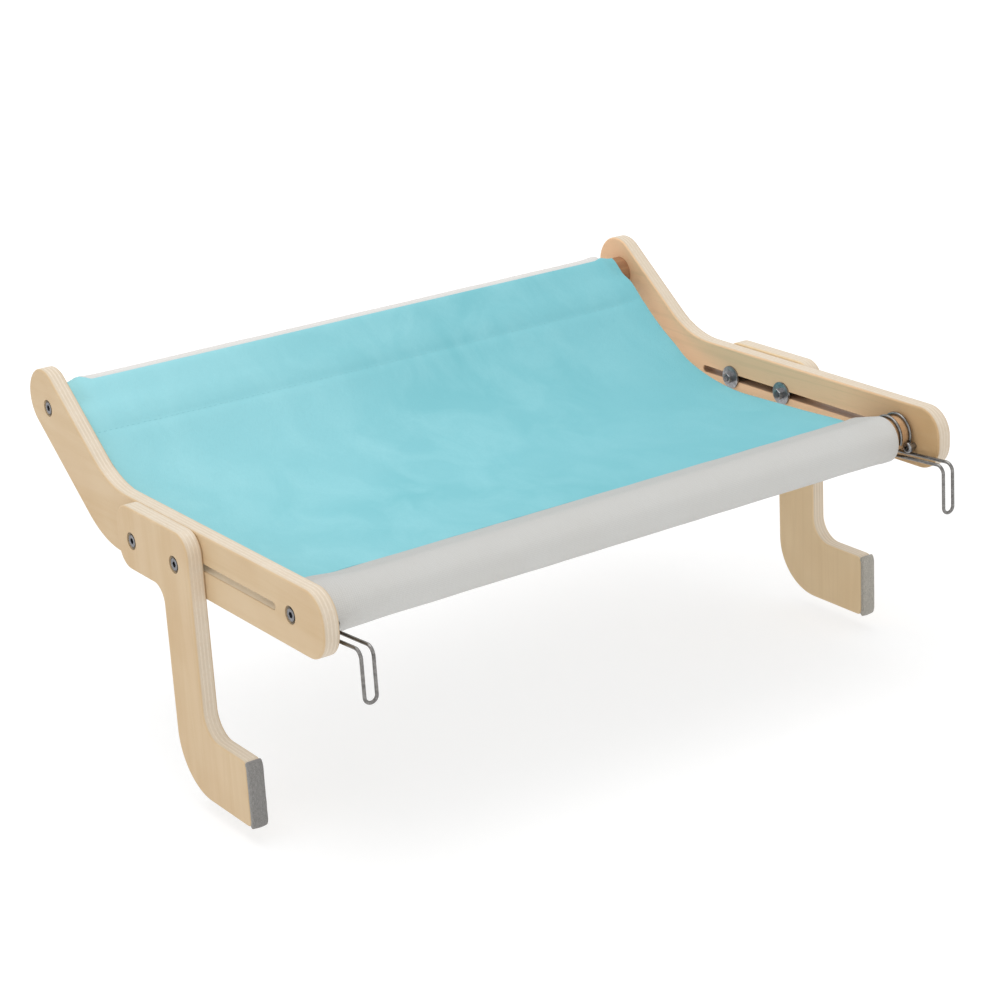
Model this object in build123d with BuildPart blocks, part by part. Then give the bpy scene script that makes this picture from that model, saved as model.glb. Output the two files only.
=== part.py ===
from build123d import *
from math import acos, atan2, cos, degrees, hypot, radians, sin, tan
import os

os.makedirs("parts", exist_ok=True)

# A hanging cat bed: two plywood arms joined by two wood dowels, a cloth sling between the dowels,
# two plywood legs that slide along slots in the arms, and two wire hooks on the front dowel.
# +X runs along the dowels, +Y to the raised back, +Z up. The origin is on the window sill's top,
# midway between the arms and straight below the front dowel. Lengths are in millimetres.

# Plywood and dowels
ply = 12.0
edge_round = 1.5
arm_gap = 506.0
dowel_diameter = 25.0

# Arms, seen from the side
arm_depth = 46.0
front_reach = 40.0
front_end_flat = 6.0
bend_distance = 251.0
bend_radius = 74.0
raise_angle = 38.0
raised_length = 98.0
back_reach = 30.0
back_end_flat = 1.0

# Slots for the leg bolts
slot_front = 18.0
slot_back = 225.0
slot_clearance = 0.3

# Legs, seen from the side
leg_front = 110.0
leg_width = 40.0
head_back = 210.0
head_depth = 46.0
head_raise = 1.0
head_corner_radius = 15.0
neck_radius = 12.0
foot_front = 56.0
foot_height = 48.0
foot_drop = 143.0
toe_radius = 5.0
instep_radius = 18.0
heel_radius = 40.0
front_leg_bolt = 130.0
leg_bolt_spacing = 60.0

# Felt pads on the feet
pad_thickness = 3.5
pad_inset = 1.0
pad_edge_round = 1.2

# Screws, washers, nuts and inserts, all M5
bolt_diameter = 5.0
bolt_hole_clearance = 0.3
head_diameter = 8.5
head_height = 5.0
hex_key = 4.0
hex_key_depth = 2.6
bolt_length = 25.0
bore_diameter = 12.5
bore_depth = 6.4
washer_diameter = 10.0
washer_thickness = 1.0
clamp_washer_diameter = 18.0
clamp_washer_thickness = 1.5
nut_across_flats = 8.0
nut_height = 4.0
nut_chamfer = 0.4
insert_diameter = 8.0
insert_length = 22.0
insert_groove = 0.5
insert_groove_pitch = 4.0
thread_gap = 0.05

# Wire hooks and their stop screws
wire_diameter = 2.5
wire_spacing = 9.0
wire_stand_off = 3.0
wire_gap = 0.3
hook_rise_angle = 4.0
hook_reach = 57.0
hook_lean_angle = 1.0
hook_drop = 36.0
hook_bend_radius = 6.0
stop_angle = 207.0
stop_shank_diameter = 5.0
stop_head_diameter = 8.0
stop_head_height = 3.2
stop_thread_length = 9.0
stop_head_gap = 0.4
stop_slot_width = 1.2
stop_slot_depth = 1.4

# Cloth
canvas = 1.6
sleeve_wall = 2.6
plush = 2.4
cloth_gap = 0.3
hook_to_cloth_gap = 0.35
rear_setback = 6.0
widening_run = 54.0
widening_length = 24.0
front_seam = 46.0
front_seam_drop = 1.0
back_seam = 46.0
sling_rise_run = 103.0
sling_sag = 10.0
sling_bend_share = 0.96
plush_crown_angle = 112.0

# How far a cut runs past what it cuts
overrun = 1.0

# Worked-out places
half_gap = arm_gap / 2
arm_outer = half_gap + ply
leg_outer = arm_outer + ply
dowel_radius = dowel_diameter / 2
dowel_height = arm_depth / 2
hole_radius = bolt_diameter / 2 + bolt_hole_clearance
slot_width = bolt_diameter + 2 * slot_clearance
rise = radians(raise_angle)
back_dowel = (bend_distance + raised_length * cos(rise), dowel_height + raised_length * sin(rise))
front_dowel_centre = (0, dowel_height)
leg_bolt_places = (front_leg_bolt, front_leg_bolt + leg_bolt_spacing)
stop_reach = dowel_radius + wire_gap + stop_head_diameter / 2
cloth_setback = wire_stand_off + wire_spacing + wire_diameter / 2 + hook_to_cloth_gap
SIDES = {"left": -1, "right": 1}


def finish(piece, name):
    """Label a finished piece and write its file."""
    piece.label = name
    export_step(piece, f"parts/{name}.step")


def corner(sketch, point, radius):
    """Round the sketch's corner that lies nearest to a point."""
    fillet(sketch.vertices().sort_by_distance(point)[0], radius=radius)


def toward(origin, angle, distance):
    """The point at a distance and an angle, in degrees, from another point of the side view."""
    turn = radians(angle)
    return (origin[0] + distance * cos(turn), origin[1] + distance * sin(turn))


def tangent_points(centre, radius, apex):
    """Where the two tangents from an apex touch a circle, the one nearer the top first."""
    reach = (apex[0] - centre[0], apex[1] - centre[1])
    distance = hypot(*reach)
    facing = degrees(atan2(reach[1], reach[0]))
    spread = degrees(acos(radius / distance))
    both = [toward(centre, facing + spread, radius), toward(centre, facing - spread, radius)]
    return sorted(both, key=lambda point: -point[1])


stop_place = toward(front_dowel_centre, stop_angle, stop_reach)

# Arms
front_corner_radius = (arm_depth - front_end_flat) / 2
back_corner_radius = (arm_depth - back_end_flat) / 2
mitre = arm_depth / 2 * tan(rise / 2)
arm_end = toward((bend_distance, dowel_height), raise_angle, raised_length + back_reach)
arm_front_bottom = (-front_reach, 0)
arm_front_top = (-front_reach, arm_depth)
arm_bend_top = (bend_distance - mitre, arm_depth)
arm_end_top = toward(arm_end, raise_angle + 90, arm_depth / 2)
arm_end_bottom = toward(arm_end, raise_angle - 90, arm_depth / 2)
arm_bend_bottom = (bend_distance + mitre, 0)

for side, hand in SIDES.items():
    with BuildPart() as arm:
        with BuildSketch(Plane.YZ.offset(hand * half_gap)) as arm_profile:
            with BuildLine():
                Polyline(
                    arm_front_bottom,
                    arm_front_top,
                    arm_bend_top,
                    arm_end_top,
                    arm_end_bottom,
                    arm_bend_bottom,
                    close=True,
                )
            make_face()
            for point in (arm_front_bottom, arm_front_top):
                corner(arm_profile, point, front_corner_radius)
            for point in (arm_bend_top, arm_bend_bottom):
                corner(arm_profile, point, bend_radius)
            for point in (arm_end_top, arm_end_bottom):
                corner(arm_profile, point, back_corner_radius)
        extrude(amount=hand * ply)
        arm_faces = arm.faces().sort_by(Axis.X)
        fillet(arm_faces[0].edges() + arm_faces[-1].edges(), radius=edge_round)
        with BuildSketch(Plane.YZ.offset(hand * half_gap)):
            with Locations(((slot_front + slot_back) / 2, dowel_height)):
                SlotOverall(slot_back - slot_front, slot_width)
        extrude(amount=hand * ply, mode=Mode.SUBTRACT)
        for y, z in (front_dowel_centre, back_dowel):
            with Locations(Plane((hand * arm_outer, y, z), z_dir=(hand, 0, 0))):
                CounterBoreHole(hole_radius, bore_diameter / 2, bore_depth, ply + overrun)
        with Locations(Plane((hand * half_gap, *stop_place), z_dir=(-hand, 0, 0))):
            Hole(stop_shank_diameter / 2 + thread_gap, stop_thread_length + thread_gap)
    finish(arm.part, f"{side}_arm")

# Dowels, with a hole in each end for an insert
for name, (y, z) in (("front_dowel", front_dowel_centre), ("rear_dowel", back_dowel)):
    with BuildPart() as dowel:
        with BuildSketch(Plane.YZ.offset(-half_gap)):
            with Locations((y, z)):
                Circle(dowel_radius)
        extrude(amount=arm_gap)
        for hand in SIDES.values():
            with Locations(Plane((hand * half_gap, y, z), z_dir=(hand, 0, 0))):
                Hole(insert_diameter / 2 + thread_gap, insert_length)
    finish(dowel.part, name)

# Threaded inserts in the dowel ends
insert_groove_places = [
    insert_groove_pitch * turn for turn in range(1, int(insert_length // insert_groove_pitch) + 1)
]
for name, (y, z) in (("front_dowel", front_dowel_centre), ("rear_dowel", back_dowel)):
    with BuildPart() as inserts:
        for hand in SIDES.values():
            with BuildSketch(Plane.YZ.offset(hand * half_gap)):
                with Locations((y, z)):
                    Circle(insert_diameter / 2)
                    Circle(bolt_diameter / 2 + thread_gap, mode=Mode.SUBTRACT)
            extrude(amount=-hand * insert_length)
            for depth in insert_groove_places:
                with BuildSketch(Plane.YZ.offset(hand * (half_gap - depth))):
                    with Locations((y, z)):
                        Circle(insert_diameter / 2 + insert_groove)
                        Circle(insert_diameter / 2 - insert_groove, mode=Mode.SUBTRACT)
                extrude(amount=hand * insert_groove, mode=Mode.SUBTRACT)
    finish(inserts.part, f"{name}_inserts")


def socket_screw(seat, place, hand):
    """A socket-head screw whose head sits on a seat and points out of the side."""
    y, z = place
    outward = Plane((hand * seat, y, z), x_dir=(0, 1, 0), z_dir=(hand, 0, 0))
    with BuildSketch(outward) as head:
        Circle(head_diameter / 2)
    extrude(head.sketch, amount=head_height)
    with BuildSketch(outward.offset(head_height)) as socket:
        RegularPolygon(hex_key / 2, 6, major_radius=False)
    extrude(socket.sketch, amount=-hex_key_depth, mode=Mode.SUBTRACT)
    with BuildSketch(outward) as shank:
        Circle(bolt_diameter / 2)
    extrude(shank.sketch, amount=-bolt_length)


def washer(seat, place, hand, diameter, thickness):
    """A flat washer that lies on a seat, on the side that the hand points to."""
    y, z = place
    with BuildSketch(Plane.YZ.offset(seat)) as ring:
        with Locations((y, z)):
            Circle(diameter / 2)
            Circle(hole_radius, mode=Mode.SUBTRACT)
    extrude(ring.sketch, amount=hand * thickness)


# Screws and washers that hold the dowels
arm_bore_seat = arm_outer - bore_depth
for name, place in (("front_dowel", front_dowel_centre), ("rear_dowel", back_dowel)):
    with BuildPart() as screws:
        for hand in SIDES.values():
            socket_screw(arm_bore_seat + washer_thickness, place, hand)
    finish(screws.part, f"{name}_screws")
    with BuildPart() as washers:
        for hand in SIDES.values():
            washer(hand * arm_bore_seat, place, hand, washer_diameter, washer_thickness)
    finish(washers.part, f"{name}_washers")

# Legs
head_bottom = head_raise
head_top = head_bottom + head_depth
leg_back = leg_front + leg_width
foot_bottom = -foot_drop
foot_top = foot_bottom + foot_height

for side, hand in SIDES.items():
    with BuildPart() as leg:
        with BuildSketch(Plane.YZ.offset(hand * arm_outer)) as leg_profile:
            with BuildLine():
                Polyline(
                    (foot_front, foot_bottom),
                    (foot_front, foot_top),
                    (leg_front, foot_top),
                    (leg_front, head_top),
                    (head_back, head_top),
                    (head_back, head_bottom),
                    (leg_back, head_bottom),
                    (leg_back, foot_bottom),
                    close=True,
                )
            make_face()
            for point in ((foot_front, foot_bottom), (foot_front, foot_top)):
                corner(leg_profile, point, toe_radius)
            corner(leg_profile, (leg_front, foot_top), instep_radius)
            for point in ((leg_front, head_top), (head_back, head_top), (head_back, head_bottom)):
                corner(leg_profile, point, head_corner_radius)
            corner(leg_profile, (leg_back, head_bottom), neck_radius)
            corner(leg_profile, (leg_back, foot_bottom), heel_radius)
        extrude(amount=hand * ply)
        leg_faces = leg.faces().sort_by(Axis.X)
        fillet(leg_faces[0].edges() + leg_faces[-1].edges(), radius=edge_round)
        for y in leg_bolt_places:
            with Locations(Plane((hand * leg_outer, y, dowel_height), z_dir=(hand, 0, 0))):
                CounterBoreHole(hole_radius, bore_diameter / 2, bore_depth, ply + overrun)
    finish(leg.part, f"{side}_leg")

    # Felt pad on the front of the foot
    pad_low = foot_bottom + pad_inset
    pad_high = foot_top - pad_inset
    with BuildPart() as pad:
        with BuildSketch(Plane.XZ.offset(-foot_front)):
            with Locations((hand * (arm_outer + ply / 2), (pad_low + pad_high) / 2)):
                Rectangle(ply, pad_high - pad_low)
        extrude(amount=pad_thickness)
        fillet(pad.faces().sort_by(Axis.Y)[0].edges(), radius=pad_edge_round)
    finish(pad.part, f"{side}_foot_pad")

    # Screws, washers and nuts that clamp the leg to its arm
    leg_bore_seat = leg_outer - bore_depth
    with BuildPart() as leg_screws:
        for y in leg_bolt_places:
            socket_screw(leg_bore_seat + washer_thickness, (y, dowel_height), hand)
    finish(leg_screws.part, f"{side}_leg_screws")

    with BuildPart() as leg_washers:
        for y in leg_bolt_places:
            washer(hand * leg_bore_seat, (y, dowel_height), hand, washer_diameter, washer_thickness)
    finish(leg_washers.part, f"{side}_leg_washers")

    with BuildPart() as clamp_washers:
        for y in leg_bolt_places:
            place = (y, dowel_height)
            washer(hand * half_gap, place, -hand, clamp_washer_diameter, clamp_washer_thickness)
    finish(clamp_washers.part, f"{side}_clamp_washers")

    nut_seat = half_gap - clamp_washer_thickness
    with BuildPart() as hex_nuts:
        for y in leg_bolt_places:
            inward = Plane((hand * nut_seat, y, dowel_height), x_dir=(0, 0, 1), z_dir=(-hand, 0, 0))
            with BuildSketch(inward) as hexagon:
                RegularPolygon(nut_across_flats / 2, 6, major_radius=False)
                Circle(bolt_diameter / 2 + thread_gap, mode=Mode.SUBTRACT)
            extrude(hexagon.sketch, amount=nut_height)
        nut_faces = hex_nuts.faces().sort_by(Axis.X, reverse=hand < 0)[: len(leg_bolt_places)]
        chamfer([edge for face in nut_faces for edge in face.outer_wire().edges()], nut_chamfer)
    finish(hex_nuts.part, f"{side}_hex_nuts")

# Wire hooks: one wire each, bent back on itself, with both ends curled round the front dowel
loop_radius = dowel_radius + wire_gap + wire_diameter / 2
stop_shank_radius = stop_shank_diameter / 2
tip_reach = loop_radius + wire_diameter / 2
tip_clearance = stop_shank_radius + wire_gap
tip_swing = acos(
    (tip_reach**2 + stop_reach**2 - tip_clearance**2) / (2 * tip_reach * stop_reach)
)
wire_end_angle = stop_angle - degrees(tip_swing)
leave_angle = -90 - hook_rise_angle
leave_point = toward(front_dowel_centre, leave_angle, loop_radius)
hook_corner = (
    -hook_reach,
    leave_point[1] + (hook_reach + leave_point[0]) * tan(radians(hook_rise_angle)),
)
hook_down_angle = -90 - hook_lean_angle
turn_radius = wire_spacing / 2
hook_foot = toward(hook_corner, hook_down_angle, hook_drop - turn_radius)

for side, hand in SIDES.items():
    outer_x = hand * (half_gap - wire_stand_off)
    inner_x = outer_x - hand * wire_spacing
    with BuildPart() as hook:
        runs = []
        for x in (outer_x, inner_x):
            with BuildLine(Plane.YZ.offset(x)) as run:
                turn_angle = leave_angle - wire_end_angle
                CenterArc(front_dowel_centre, loop_radius, wire_end_angle, turn_angle)
                FilletPolyline(leave_point, hook_corner, hook_foot, radius=hook_bend_radius)
            runs.append(run)
        turn_plane = Plane(
            ((outer_x + inner_x) / 2, *hook_foot),
            x_dir=(1, 0, 0),
            z_dir=(0, -sin(radians(hook_down_angle)), cos(radians(hook_down_angle))),
        )
        with BuildLine(turn_plane) as hook_turn:
            CenterArc((0, 0), turn_radius, 0, 180)
        hook_path = Wire(runs[0].edges() + hook_turn.edges() + runs[1].edges())
        with BuildSketch(Plane(hook_path @ 0, z_dir=hook_path % 0)):
            Circle(wire_diameter / 2)
        sweep(path=hook_path)
    wire_section = hook.part.volume / hook_path.length
    print(side, "hook wire length", round(hook_path.length), "section", round(wire_section, 2))
    finish(hook.part, f"{side}_hook")

    # Stop screw: its shank stands in the hook's mouth and its head keeps the wire on
    head_seat = wire_stand_off + wire_diameter / 2 + stop_head_gap
    inward = Plane(
        (hand * half_gap, *stop_place),
        x_dir=(0, cos(radians(stop_angle)), sin(radians(stop_angle))),
        z_dir=(-hand, 0, 0),
    )
    with BuildPart() as stop_screw:
        with BuildSketch(inward.offset(-stop_thread_length)):
            Circle(stop_shank_radius)
        extrude(amount=stop_thread_length + head_seat)
        with BuildSketch(inward.offset(head_seat)):
            Circle(stop_head_diameter / 2)
        extrude(amount=stop_head_height)
        head_rim = stop_screw.faces().sort_by(Axis.X)[0 if hand > 0 else -1].edges()
        fillet(head_rim, radius=stop_head_height / 2)
        with BuildSketch(inward.offset(head_seat + stop_head_height)):
            for angle in (0, 90):
                with Locations(Location((0, 0), angle)):
                    Rectangle(stop_head_diameter / 2, stop_slot_width)
        extrude(amount=-stop_slot_depth, mode=Mode.SUBTRACT)
    finish(stop_screw.part, f"{side}_hook_screw")

# Cloth: canvas sleeves round the dowels, a canvas underside and a plush top between them
sleeve_radius = dowel_radius + cloth_gap + sleeve_wall
cloth_half_width = half_gap - cloth_setback
rear_half_width = half_gap - rear_setback
front_apex = (front_seam, dowel_height - front_seam_drop)
sling_low = (back_dowel[0] - sling_rise_run, dowel_height - sling_sag)
back_touch = tangent_points(back_dowel, sleeve_radius, sling_low)[0]
dip_angle = degrees(atan2(sling_low[1] - front_apex[1], sling_low[0] - front_apex[0]))
climb_angle = degrees(atan2(back_touch[1] - sling_low[1], back_touch[0] - sling_low[0]))
climb_run = hypot(back_touch[0] - sling_low[0], back_touch[1] - sling_low[1]) - back_seam
back_apex = toward(back_touch, climb_angle + 180, back_seam)
half_turn = radians(climb_angle - dip_angle) / 2
sling_radius = sling_bend_share * climb_run / tan(half_turn)


def sleeve(centre, apex, half_width):
    """A closed loop of canvas round a dowel, drawn together at its seam."""
    upper, lower = tangent_points(centre, sleeve_radius, apex)
    away = degrees(atan2(centre[1] - apex[1], centre[0] - apex[0]))
    with BuildSketch(Plane.YZ.offset(-half_width)) as loop:
        with BuildLine():
            Line(apex, upper)
            ThreePointArc(upper, toward(centre, away, sleeve_radius), lower)
            Line(lower, apex)
        make_face()
        offset(loop.face(), amount=-sleeve_wall, kind=Kind.INTERSECTION, mode=Mode.SUBTRACT)
    extrude(loop.sketch, amount=2 * half_width)


def draw_in_sides():
    """Cut the sling's sides in, from the rear sleeve's width to the front sleeve's."""
    widening_start = back_apex[0] - widening_run
    widening_end = widening_start + widening_length
    for hand in SIDES.values():
        with BuildSketch(Plane.XY.offset(sling_low[1] - dowel_height)) as waste:
            with BuildLine():
                Polyline(
                    (hand * half_gap, front_apex[0] - dowel_height),
                    (hand * cloth_half_width, front_apex[0] - dowel_height),
                    (hand * cloth_half_width, widening_start),
                    (hand * rear_half_width, widening_end),
                    (hand * half_gap, widening_end),
                    close=True,
                )
            make_face()
        extrude(waste.sketch, amount=back_dowel[1] + dowel_height, mode=Mode.SUBTRACT)


with BuildPart() as front_sleeve:
    sleeve(front_dowel_centre, front_apex, cloth_half_width)
finish(front_sleeve.part, "front_sleeve")

with BuildPart() as rear_sleeve:
    sleeve(back_dowel, back_apex, rear_half_width)
finish(rear_sleeve.part, "rear_sleeve")

with BuildPart() as sling_underside:
    with BuildSketch(Plane.YZ.offset(-rear_half_width)):
        with BuildLine() as underside_line:
            FilletPolyline(front_apex, sling_low, back_apex, radius=sling_radius)
            offset(amount=canvas, side=Side.RIGHT)
        make_face()
    extrude(amount=2 * rear_half_width)
    draw_in_sides()
finish(sling_underside.part, "sling_underside")

touch_angle = climb_angle + 90
with BuildPart() as sling_top:
    with BuildSketch(Plane.YZ.offset(-rear_half_width)):
        with BuildLine() as top_line:
            FilletPolyline(front_apex, sling_low, back_touch, radius=sling_radius)
            CenterArc(back_dowel, sleeve_radius, touch_angle, plush_crown_angle - touch_angle)
            offset(amount=plush, side=Side.LEFT)
        make_face()
    extrude(amount=2 * rear_half_width)
    draw_in_sides()
finish(sling_top.part, "sling_top")

# The travel that each leg has in its slot, and the places that the joints and mounts name
forward_stop = dowel_radius + clamp_washer_diameter / 2 + cloth_gap
forward_travel = front_leg_bolt - max(forward_stop, slot_front + slot_width / 2)
backward_travel = slot_back - slot_width / 2 - leg_bolt_places[1]
print("leg travel forward", round(forward_travel, 2), "back", round(backward_travel, 2))
print("front dowel axis", front_dowel_centre, "rear dowel axis", back_dowel)
print("hook corner", hook_corner, "hook foot", hook_foot, "stop", stop_place)
print("cloth from", front_apex, "by", sling_low, "to", back_touch, "seam", back_apex)
print("sling radius", round(sling_radius, 2), "climb angle", round(climb_angle, 2))
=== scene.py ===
"""Dresses a hanging cat bed: plywood arms and legs, wood dowels, a cloth sling, felt pads and wire hooks.

Lengths are in metres. +X runs along the dowels, +Y to the raised back and +Z up, and the origin is on the
window sill's top, midway between the arms and straight below the front dowel.
"""

from __future__ import annotations

import logging
import math
from bisect import bisect_left
from dataclasses import dataclass
from enum import Enum
from functools import cached_property
from itertools import accumulate
from typing import Callable, Sequence

import bmesh
import bpy
from mathutils import Matrix, Vector, noise

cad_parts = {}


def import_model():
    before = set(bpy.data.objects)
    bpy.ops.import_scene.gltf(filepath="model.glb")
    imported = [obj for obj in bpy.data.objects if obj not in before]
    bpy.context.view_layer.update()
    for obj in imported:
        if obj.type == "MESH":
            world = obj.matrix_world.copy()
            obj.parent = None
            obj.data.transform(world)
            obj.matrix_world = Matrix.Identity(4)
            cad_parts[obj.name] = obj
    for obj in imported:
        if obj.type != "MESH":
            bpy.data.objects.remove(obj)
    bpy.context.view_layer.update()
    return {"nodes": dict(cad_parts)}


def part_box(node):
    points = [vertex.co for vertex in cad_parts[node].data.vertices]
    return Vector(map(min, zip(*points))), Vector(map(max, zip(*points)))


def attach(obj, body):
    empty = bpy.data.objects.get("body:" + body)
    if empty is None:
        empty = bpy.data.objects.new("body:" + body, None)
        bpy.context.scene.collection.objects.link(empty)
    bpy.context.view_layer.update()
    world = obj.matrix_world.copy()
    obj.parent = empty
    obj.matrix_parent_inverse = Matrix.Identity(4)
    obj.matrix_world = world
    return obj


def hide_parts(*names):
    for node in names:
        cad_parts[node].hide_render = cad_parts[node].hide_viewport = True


LOG = logging.getLogger("cat_bed")
MM = 0.001

Point = tuple[float, float]
Place = tuple[float, float, float]
Colour = tuple[float, float, float]
Piece = bpy.types.Object
Material = bpy.types.Material
Socket = bpy.types.NodeSocket

WHITE: Colour = (1.0, 1.0, 1.0)
BLACK: Colour = (0.0, 0.0, 0.0)


class Body(Enum):
    """What moves together."""

    FRAME = "frame"
    LEFT_LEG = "left_leg_set"
    RIGHT_LEG = "right_leg_set"


class Slot(Enum):
    """The finishes that the record names."""

    PLUSH = "plush"
    CANVAS = "canvas"
    FELT = "felt"


class Grain(Enum):
    """The way that a face veneer's grain runs, as its pattern's scale along each axis."""

    ALONG_ARM = (1, 0.05, 1)
    ALONG_LEG = (1, 1, 0.05)


def linear(red: int, green: int, blue: int) -> Colour:
    """A colour of a screen, from 0 to 255, in the shader's linear values."""
    shares = (value / 255 for value in (red, green, blue))
    return tuple(share / 12.92 if share <= 0.04045 else ((share + 0.055) / 1.055) ** 2.4 for share in shares)


class Shader:
    """The nodes of a material or a world, added one by one.

    Args:
        owner: The material or the world.
    """

    def __init__(self, owner: Material | bpy.types.World) -> None:
        """Empties the owner's node tree."""
        owner.use_nodes = True
        self.owner, self.tree = owner, owner.node_tree
        self.tree.nodes.clear()

    def node(self, kind: str, inputs: dict[str | int, object] | None = None,
             **settings: object) -> bpy.types.Node:
        """Adds a node, sets it up and joins its inputs.

        Args:
            kind: The node's type.
            inputs: A value, a colour or an output socket for each input, by name or number.
            settings: The node's own settings.

        Returns:
            The new node.
        """
        made = self.tree.nodes.new(kind)
        for key, value in settings.items():
            setattr(made, key, value)
        for key, value in (inputs or {}).items():
            into = made.inputs[key]
            if isinstance(value, Socket):
                self.tree.links.new(value, into)
            else:
                into.default_value = (*value, 1.0) if into.type == "RGBA" else value
        return made

    def math(self, operation: str, *values: object) -> Socket:
        """The result of one sum on sockets or numbers."""
        return self.node("ShaderNodeMath", dict(enumerate(values)), operation=operation).outputs[0]

    def spread(self, value: Socket, low: float, high: float, to_low: float = 0.0,
               to_high: float = 1.0) -> Socket:
        """A value stretched from one range to another, and held there."""
        inputs = {"Value": value, "From Min": low, "From Max": high, "To Min": to_low, "To Max": to_high}
        return self.node("ShaderNodeMapRange", inputs).outputs["Result"]

    def seen(self) -> Socket:
        """Tells the rays that show a thing from those that only carry its light.

        Returns:
            1 for rays of the camera, a reflection or a glass, and 0 for others.
        """
        rays = self.node("ShaderNodeLightPath").outputs
        seen = self.math("MAXIMUM", rays["Is Camera Ray"], rays["Is Glossy Ray"])
        return self.math("MAXIMUM", seen, rays["Is Transmission Ray"])

    def place(self) -> Socket:
        """The place of a point on its own object."""
        return self.node("ShaderNodeTexCoord").outputs["Object"]

    def cloth_place(self) -> Socket:
        """The place of a point on its cloth, in metres across and along it."""
        return self.node("ShaderNodeUVMap", uv_map="cloth").outputs["UV"]

    def axes(self, place: Socket) -> Sequence[Socket]:
        """A place's three coordinates."""
        return tuple(self.node("ShaderNodeSeparateXYZ", {0: place}).outputs)

    def stretched(self, place: Socket, scale: Sequence[float]) -> Socket:
        """A place scaled along each axis."""
        return self.node("ShaderNodeMapping", {"Vector": place, "Scale": scale}).outputs["Vector"]

    def noise(self, place: Socket, scale: float, detail: float = 3.0, rough: float = 0.5,
              bent: float = 0.0) -> Socket:
        """A random pattern from 0 to 1, with its blotches to a metre, its finer octaves and its bend."""
        inputs = {"Vector": place, "Scale": scale, "Detail": detail, "Roughness": rough, "Distortion": bent}
        return self.node("ShaderNodeTexNoise", inputs).outputs["Fac"]

    def mix(self, share: Socket, first: Socket | Colour, second: Socket | Colour) -> Socket:
        """The blend of two colours, with a share of the second."""
        return self.node("ShaderNodeMix", {0: share, 6: first, 7: second}, data_type="RGBA").outputs[2]

    def veil(self, under: Socket | Colour, tone: Colour, pattern: Socket, low: float, high: float,
             at_high: float = 1.0, at_low: float = 0.0) -> Socket:
        """A colour with a tone laid over it, whose share goes with a pattern from its low to its high end."""
        return self.mix(self.spread(pattern, low, high, at_low, at_high), under, tone)

    def bump(self, height: Socket, strength: float, depth: float, *normal: Socket) -> Socket:
        """A normal bent by a height pattern of a depth in metres, on top of one that is bent already."""
        inputs = {"Height": height, "Strength": strength, "Distance": depth, **{"Normal": n for n in normal}}
        return self.node("ShaderNodeBump", inputs).outputs["Normal"]

    def surface(self, **sockets: object) -> Material:
        """Ends the material with one principled surface.

        Args:
            sockets: Its inputs, with an underscore for each space.

        Returns:
            The finished material.
        """
        named = {key.replace("_", " "): value for key, value in sockets.items()}
        made = self.node("ShaderNodeBsdfPrincipled", named)
        self.node("ShaderNodeOutputMaterial", {"Surface": made.outputs["BSDF"]})
        return self.owner


@dataclass(frozen=True)
class Finish:
    """A finish that makes its own material, under its own name."""

    name: str

    def shader(self) -> Shader:
        """Starts the finish's material."""
        return Shader(bpy.data.materials.new(self.name))

    def material(self) -> Material:
        """Makes the material."""
        raise NotImplementedError


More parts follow.
